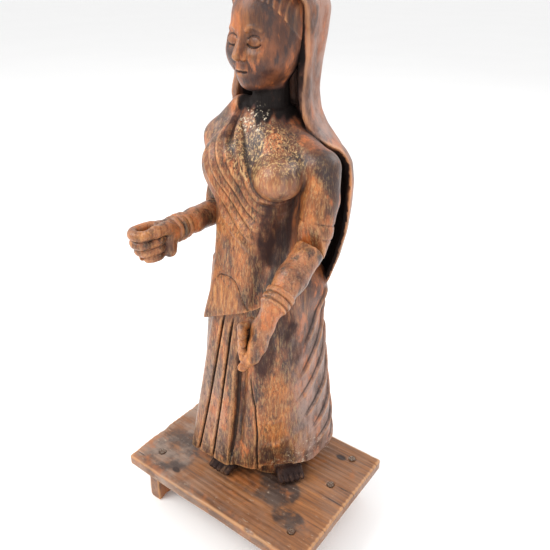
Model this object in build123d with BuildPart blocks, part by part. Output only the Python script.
from build123d import *
import os

# A carved wooden woman in a sari on a small plank table.
# Millimetres, +Z up, -Y is the figure's front, +X is the figure's left.
# The figure is drawn on its own axes, then moved back a little as it is written,
# so that the origin is on the floor, at the centre of the whole object's box.

# Base: a plank on two cross battens
board_width = 250.0
board_depth = 178.0
board_thick = 15.5
board_corner = 6.0
board_edge = 2.5
board_y = 13.0
batten_height = 47.5
batten_width = 16.0
batten_length = 158.0
batten_x = 96.0
batten_edge = 1.2
deck_z = batten_height + board_thick

# Nails that hold the board to the battens
nail_rows = (-60.0, 19.0, 69.0)
nail_head_radius = 3.8
nail_head_thick = 1.4
nail_shank_radius = 1.4
nail_length = 45.0

# Screws that hold the figure to the board, driven from below
screw_x = 27.0
screw_y = 40.0
screw_length = 55.0
screw_shank_radius = 2.2
screw_core_radius = 1.6
screw_head_radius = 4.4
screw_head_height = 2.53
screw_clearance = 0.1
screw_slot_width = 1.0
screw_slot_depth = 1.2

# Figure: heights
hem_gap = 17.5
hem_z = deck_z + hem_gap
waist_z = 330.0
shoulder_z = 452.0
chin_z = 500.0
top_z = 596.0

# Figure: body axis and head
body_y = 36.0
head_y = 38.0
head_height = 90.0
head_half_width = 29.0
head_half_depth = 35.0
neck_radius = 18.0

# Arms
arm_radius = 17.5
left_elbow_radius = 14.2
left_wrist_radius = 11.8
right_elbow_radius = 13.0
right_wrist_radius = 10.8
elbow_gap = 0.4
left_shoulder = Vector(69, 33, 432)
left_elbow = Vector(69, 10, 361)
left_wrist = Vector(67, -40, 328)
left_thumb_tip = Vector(47, -63, 262)
right_shoulder = Vector(-49, 36, 436)
right_elbow = Vector(-49.5, 14, 370)
right_wrist = Vector(-49.5, -38, 370)

# Elbow dowels
dowel_radius = 4.0
dowel_clearance = 0.05
dowel_length = 22.0
dowel_chamfer = 0.6
dowel_end_gap = 1.0

# Right fist: the hollow that holds a stem
fist_length = 43.0
fist_width = 27.0
fist_front_y = -94.0
fist_top_z = 382.5
finger_height = 9.2
fist_slot_length = 18.0
fist_slot_width = 7.0

# Veil: one carved sheet over the head and down behind the arms
veil_thick = 6.0
veil_back_y = 93.0
veil_side_front_y = 62.0
face_window_half_width = 35.0
face_window_depth_y = 52.0

os.makedirs("parts", exist_ok=True)


def side_plane(point, direction):
    """A plane at the point whose normal is the direction and whose x axis stays level."""
    level = Vector(0, 0, 1).cross(direction)
    return Plane(origin=point, x_dir=level, z_dir=direction)


def loft_blocks(sections, ruled=False):
    """Loft rounded rectangles given as (height, half width, front y, back y, corner)."""
    profiles = []
    for height, half_width, front, back, corner in sections:
        with BuildSketch(Plane.XY.offset(height)) as block:
            with Locations((0, (front + back) / 2)):
                RectangleRounded(2 * half_width, back - front, corner)
        profiles.append(block.sketch)
    loft(profiles, ruled=ruled)


def limb(stations):
    """Loft circles given as (plane, radius)."""
    profiles = []
    for plane, radius in stations:
        with BuildSketch(plane) as ring:
            Circle(radius)
        profiles.append(ring.sketch)
    loft(profiles)


def capsule(start, end, start_radius, end_radius):
    """A tapered rod with round ends, from start to end, turned about its own axis."""
    run = end - start
    reach = run.length
    outward = run.cross(Vector(0.31, 0.87, 0.37)).normalized()
    slant = 0.70710678
    with BuildSketch(Plane(origin=start, x_dir=outward, z_dir=outward.cross(run.normalized()))) as profile:
        with BuildLine():
            ThreePointArc(
                (0, -start_radius),
                (start_radius * slant, -start_radius * slant),
                (start_radius, 0),
            )
            Line((start_radius, 0), (end_radius, reach))
            ThreePointArc(
                (end_radius, reach),
                (end_radius * slant, reach + end_radius * slant),
                (0, reach + end_radius),
            )
            Line((0, reach + end_radius), (0, -start_radius))
        make_face()
    revolve(profile.sketch, axis=Axis(start, run))


def bangle(plane, radius, width):
    """A rounded ring around the wrist, centred on the plane."""
    with BuildSketch(plane.offset(-width / 2)) as disc:
        Circle(radius)
    extrude(disc.sketch, amount=width)


left_forearm_dir = (left_wrist - left_elbow).normalized()
left_plane = side_plane(left_elbow, left_forearm_dir)
left_reach = (left_wrist - left_elbow).length
right_forearm_dir = (right_wrist - right_elbow).normalized()
right_plane = side_plane(right_elbow, right_forearm_dir)
right_reach = (right_wrist - right_elbow).length

# ---------------------------------------------------------------- base board
with BuildPart() as base_board:
    with BuildSketch(Plane.XY.offset(batten_height)):
        with Locations((0, board_y)):
            RectangleRounded(board_width, board_depth, board_corner)
    extrude(amount=board_thick)
    fillet(base_board.faces().sort_by(Axis.Z)[-1].edges(), board_edge)
    fillet(base_board.faces().sort_by(Axis.Z)[0].edges(), board_edge / 2)
    nail_spots = [(side * batten_x, board_y + row) for side in (-1, 1) for row in nail_rows]
    with Locations(*[(x, y, deck_z) for x, y in nail_spots]):
        CounterBoreHole(nail_shank_radius, nail_head_radius, nail_head_thick, board_thick)
    underside = Plane(origin=(0, screw_y, batten_height), x_dir=(1, 0, 0), z_dir=(0, 0, -1))
    with Locations(underside):
        with GridLocations(2 * screw_x, 0, 2, 1):
            CounterSinkHole(screw_shank_radius + screw_clearance, screw_head_radius + screw_clearance,
                            board_thick)

# ---------------------------------------------------------------- battens
battens = {}
for batten_name, side in (("left_batten", 1), ("right_batten", -1)):
    with BuildPart() as batten:
        with Locations((side * batten_x, board_y, 0)):
            Box(batten_width, batten_length, batten_height, align=(Align.CENTER, Align.CENTER, Align.MIN))
        chamfer(batten.edges().filter_by(Axis.Z), batten_edge)
        chamfer(batten.faces().sort_by(Axis.Z)[0].edges(), batten_edge)
        with Locations(*[(side * batten_x, board_y + row, batten_height) for row in nail_rows]):
            Hole(nail_shank_radius, nail_length - board_thick)
    battens[batten_name] = batten

# ---------------------------------------------------------------- nails
with BuildPart() as batten_nails:
    with BuildSketch(Plane.XY.offset(deck_z - nail_head_thick)):
        with Locations(*nail_spots):
            Circle(nail_head_radius)
    extrude(amount=nail_head_thick)
    with BuildSketch(Plane.XY.offset(deck_z - nail_length)):
        with Locations(*nail_spots):
            Circle(nail_shank_radius)
    extrude(amount=nail_length - nail_head_thick)

# ---------------------------------------------------------------- carved figure
# ---------------------------------------------------------------- upper arms
upper_arms = []
for shoulder, elbow_plane, elbow_radius in (
    (left_shoulder, left_plane, left_elbow_radius),
    (right_shoulder, right_plane, right_elbow_radius),
):
    with BuildPart() as upper_arm:
        capsule(shoulder, elbow_plane.origin, arm_radius, elbow_radius)
        split(bisect_by=elbow_plane.offset(-elbow_gap), keep=Keep.BOTTOM)
    upper_arms.append(upper_arm.part)

# Each foot: heel, turn of the foot about the vertical, middle of the toe row
feet = (
    (Vector(-9, 20, 0), -92, Vector(-10, -26, 0)),
    (Vector(24, 32, 0), -32, Vector(53, 14, 0)),
)

with BuildPart() as carved_figure:
    # Skirt, squared off like the log it was cut from, wider at the hem
    loft_blocks([
        (hem_z, 65, -28, 99, 34),
        (hem_z + 55, 62, -24, 96, 32),
        (hem_z + 130, 55, -19, 90, 30),
        (hem_z + 200, 50, -16, 86, 28),
        (waist_z, 42, -15, 84, 26),
    ])
    # Trunk, from the waist to the shoulders
    loft_blocks([
        (waist_z, 42, -15, 84, 26),
        (370, 34, -14, 84, 22),
        (410, 38, -12, 84, 24),
        (shoulder_z - 14, 50, 0, 84, 26),
        (shoulder_z + 6, 38, 12, 78, 20),
        (shoulder_z + 18, 24, 20, 70, 16),
    ], ruled=True)
    # Plinth under the skirt
    with BuildSketch(Plane.XY.offset(deck_z)):
        with Locations((0, body_y)):
            RectangleRounded(96, 96, 30)
    extrude(amount=hem_gap + 2)
    # Pleated front panel of the skirt
    with BuildSketch(Plane.XY.offset(hem_z)):
        with Locations((-31, -14)):
            RectangleRounded(66, 32, 6)
    with BuildSketch(Plane.XY.offset(290)):
        with Locations((-14, -8)):
            RectangleRounded(44, 28, 6)
    loft()
    # Hanging end of the sari in front, cut off level above the skirt
    with BuildSketch(Plane.XY.offset(276)):
        with Locations((-4, -18)):
            RectangleRounded(56, 34, 10)
    with BuildSketch(Plane.XY.offset(400)):
        with Locations((-4, -6)):
            RectangleRounded(60, 28, 10)
    loft()
    # Bust: the left side modelled round, the right side flatter under the sari
    with Locations((30, 4, 426)):
        Sphere(23)
    with Locations((-24, 8, 426)):
        Sphere(22)
    # Neck
    with Locations((0, head_y + 2, shoulder_z - 10)):
        Cylinder(neck_radius, 70, align=(Align.CENTER, Align.CENTER, Align.MIN))
    # Feet: a slab for each foot with five toes at the hem
    for heel, turn, toe_middle in feet:
        forward = Vector(1, 0, 0).rotate(Axis.Z, turn)
        sideways = Vector(0, 1, 0).rotate(Axis.Z, turn)
        foot_plane = Plane(origin=(heel + toe_middle) * 0.5 + Vector(0, 0, deck_z),
                           x_dir=forward, z_dir=(0, 0, 1))
        with BuildSketch(foot_plane):
            RectangleRounded((toe_middle - heel).length + 6, 30, 5)
        extrude(amount=12)
        for toe in range(-2, 3):
            tip = toe_middle + sideways * (toe * 6.4) + forward * (3.4 - 0.7 * abs(toe))
            root = tip - forward * 12
            capsule(root + Vector(0, 0, deck_z + 9), tip + Vector(0, 0, deck_z + 5), 3.6, 3.2)

# The space behind the arms that the veil's sheet encloses
with BuildPart() as under_veil:
    loft_blocks([
        (289, 50, -20, veil_back_y - veil_thick, 22),
        (330, 64, -20, veil_back_y - veil_thick, 24),
        (385, 74, -20, veil_back_y - veil_thick, 26),
        (425, 72, -20, veil_back_y - veil_thick, 26),
        (shoulder_z - 6, 54, -20, veil_back_y - veil_thick, 24),
    ])

# Veil as its own solid first, then joined to the figure
with BuildPart() as veil:
    loft_blocks([
        (290, 56, 20, veil_back_y, 26),
        (330, 70, 20, veil_back_y, 28),
        (385, 80, 20, veil_back_y, 30),
        (425, 78, 20, veil_back_y, 30),
        (shoulder_z, 64, 18, veil_back_y, 28),
        (474, 45, 14, veil_back_y - 2, 28),
        (496, 39, 12, veil_back_y - 2, 28),
        (535, 42, 8, veil_back_y, 30),
        (568, 41, 6, veil_back_y - 2, 30),
        (586, 33, 12, veil_back_y - 10, 26),
        (top_z, 20, 24, veil_back_y - 24, 16),
    ])
    add(under_veil.part, mode=Mode.SUBTRACT)
    # Below the shoulders the sheet hangs only behind the arms
    with Locations((0, veil_side_front_y, 280)):
        Box(200, 120, shoulder_z - 30 - 280, align=(Align.CENTER, Align.MAX, Align.MIN),
            mode=Mode.SUBTRACT)
    # The hollow around the face and throat
    with BuildSketch(Plane.XZ.offset(20)):
        with Locations((0, (chin_z + 34))):
            Ellipse(face_window_half_width, 42)
        with Locations((0, shoulder_z + 24)):
            RectangleRounded(54, 56, 20)
    extrude(amount=-(20 + face_window_depth_y), mode=Mode.SUBTRACT)

# Head: sections given as (height fraction, width fraction, depth fraction, shift towards the back)
head_sections = (
    (0.00, 0.34, 0.36, -11),
    (0.10, 0.62, 0.66, -5),
    (0.30, 0.88, 0.90, -1),
    (0.58, 1.00, 1.00, 0),
    (0.80, 0.90, 0.92, 1),
    (0.95, 0.56, 0.60, 2),
)
with BuildPart() as head:
    for rise, width, depth, shift in head_sections:
        with BuildSketch(Plane.XY.offset(chin_z + rise * head_height)):
            with Locations((0, head_y + shift)):
                Ellipse(width * head_half_width, depth * head_half_depth)
    loft()
    brow = Vector(0, head_y - head_half_depth + 4, chin_z + 0.53 * head_height)
    nose = Vector(0, head_y - head_half_depth - 2, chin_z + 0.34 * head_height)
    capsule(brow, nose, 2.0, 4.2)

with BuildPart() as figure:
    add(carved_figure.part)
    add(veil.part)
    add(head.part)
    add(upper_arms)
    # Dowel sockets in the elbows
    for plane in (left_plane, right_plane):
        with BuildSketch(plane.offset(-dowel_length / 2 - dowel_end_gap)):
            Circle(dowel_radius)
        extrude(amount=dowel_length / 2 + dowel_end_gap + 5, mode=Mode.SUBTRACT)
    # Pilot holes for the screws
    with BuildSketch(Plane.XY.offset(deck_z - 2)):
        with Locations((-screw_x, screw_y), (screw_x, screw_y)):
            Circle(screw_core_radius)
    extrude(amount=screw_length - board_thick + 3, mode=Mode.SUBTRACT)

# ---------------------------------------------------------------- screws from below
with BuildPart() as figure_screws:
    with BuildSketch(Plane.XZ) as half_screw:
        with BuildLine():
            Polyline(
                (0, 0),
                (screw_head_radius, 0),
                (screw_shank_radius, screw_head_height),
                (screw_shank_radius, board_thick - 1),
                (screw_core_radius, board_thick),
                (screw_core_radius, screw_length - 4),
                (0, screw_length),
                close=True,
            )
        make_face()
    revolve(axis=Axis.Z)
    with Locations((0, 0, 0)):
        Box(2 * screw_head_radius, screw_slot_width, 2 * screw_slot_depth, mode=Mode.SUBTRACT)

# ---------------------------------------------------------------- elbow dowels
dowels = {}
for dowel_name, plane in (("left_elbow_dowel", left_plane), ("right_elbow_dowel", right_plane)):
    with BuildPart() as dowel:
        with BuildSketch(plane.offset(-dowel_length / 2)):
            Circle(dowel_radius)
        extrude(amount=dowel_length)
        chamfer(dowel.edges().filter_by(GeomType.CIRCLE), dowel_chamfer)
    dowels[dowel_name] = dowel

# ---------------------------------------------------------------- left forearm
with BuildPart() as left_forearm:
    limb([
        (left_plane, left_elbow_radius),
        (left_plane.offset(0.5 * left_reach), left_elbow_radius - 0.6),
        (left_plane.offset(0.95 * left_reach), left_wrist_radius),
        (left_plane.offset(1.12 * left_reach), left_wrist_radius - 1.2),
    ])
    for bangle_place in (0.86, 1.0):
        bangle(left_plane.offset(bangle_place * left_reach), left_wrist_radius + 2.2, 5.0)
    # Back of the hand, with the thumb along its outer side
    palm_top = left_wrist + Vector(-1.5, -2, -5)
    palm_low = Vector(57, -50, 288)
    capsule(palm_top, palm_low, 10.4, 8.0)
    thumb_root = Vector(60, -50, 302)
    thumb_middle = Vector(57, -56, 282)
    capsule(thumb_root, thumb_middle, 8.0, 7.0)
    capsule(thumb_middle, left_thumb_tip, 7.0, 4.2)
    # Four curled fingers, one below the other
    for finger in range(4):
        knuckle = Vector(45, -46, 302 - 8 * finger)
        finger_tip = Vector(44.5, -59, 300 - 8 * finger)
        capsule(knuckle, finger_tip, 5.0, 4.4)
    # Heel of the hand, between the knuckles and the thumb
    capsule(Vector(56, -45, 302), Vector(50, -47, 282), 8.0, 6.5)
    # Dowel hole
    with BuildSketch(left_plane):
        Circle(dowel_radius + dowel_clearance)
    extrude(amount=dowel_length / 2 + dowel_end_gap, mode=Mode.SUBTRACT)

# ---------------------------------------------------------------- right forearm
with BuildPart() as right_forearm:
    limb([
        (right_plane, right_elbow_radius),
        (right_plane.offset(0.5 * right_reach), right_elbow_radius - 1.0),
        (right_plane.offset(0.95 * right_reach), right_wrist_radius),
        (right_plane.offset(1.3 * right_reach), right_wrist_radius + 0.6),
    ])
    for bangle_place in (0.80, 0.93, 1.06):
        bangle(right_plane.offset(bangle_place * right_reach), right_wrist_radius + 2.0, 5.8)
    # Closed fist: four fingers stacked one below the other, index on top
    fist_x = right_wrist.X - 0.5
    for finger in range(4):
        finger_top = fist_top_z - finger * finger_height
        reach_in = (0, 1, 4, 9)[finger]
        with BuildSketch(Plane.XY.offset(finger_top - finger_height - 0.6)):
            with Locations((fist_x, fist_front_y + fist_length / 2 + reach_in / 2)):
                RectangleRounded(fist_width - 1.5 * finger, fist_length - reach_in, 9)
        extrude(amount=finger_height + 0.6)
    fillet(right_forearm.faces().sort_by(Axis.Z)[-1].edges(), 3)
    # Thumb over the index finger
    capsule(Vector(-42, -52, 378), Vector(-41, -83, 380.5), 5.4, 4.4)
    # The hollow through the fist
    with BuildSketch(Plane.XY.offset(fist_top_z + 12)):
        with Locations((fist_x - 2, fist_front_y + fist_length / 2 - 2)):
            SlotOverall(fist_slot_length, fist_slot_width, rotation=90)
    extrude(amount=-70, mode=Mode.SUBTRACT)
    # Dowel hole
    with BuildSketch(right_plane):
        Circle(dowel_radius + dowel_clearance)
    extrude(amount=dowel_length / 2 + dowel_end_gap, mode=Mode.SUBTRACT)

# ---------------------------------------------------------------- write the pieces
# The box runs from the front of the fist to the back of the board
box_middle_y = (fist_front_y + board_y + board_depth / 2) / 2
to_origin = Location((0, -box_middle_y, 0))
pieces = {
    "carved_figure": figure.part,
    "left_forearm": left_forearm.part,
    "right_forearm": right_forearm.part,
    "left_elbow_dowel": dowels["left_elbow_dowel"].part,
    "right_elbow_dowel": dowels["right_elbow_dowel"].part,
    "base_board": base_board.part,
    "left_batten": battens["left_batten"].part,
    "right_batten": battens["right_batten"].part,
    "batten_nails": batten_nails.part,
}
placed = {name: piece.moved(to_origin) for name, piece in pieces.items()}
screw_spots = [to_origin * Location((side * screw_x, screw_y, batten_height)) for side in (-1, 1)]
placed["figure_screws"] = Compound(children=[figure_screws.part.moved(spot) for spot in screw_spots])
for name, piece in placed.items():
    piece.label = name
    export_step(piece, f"parts/{name}.step")
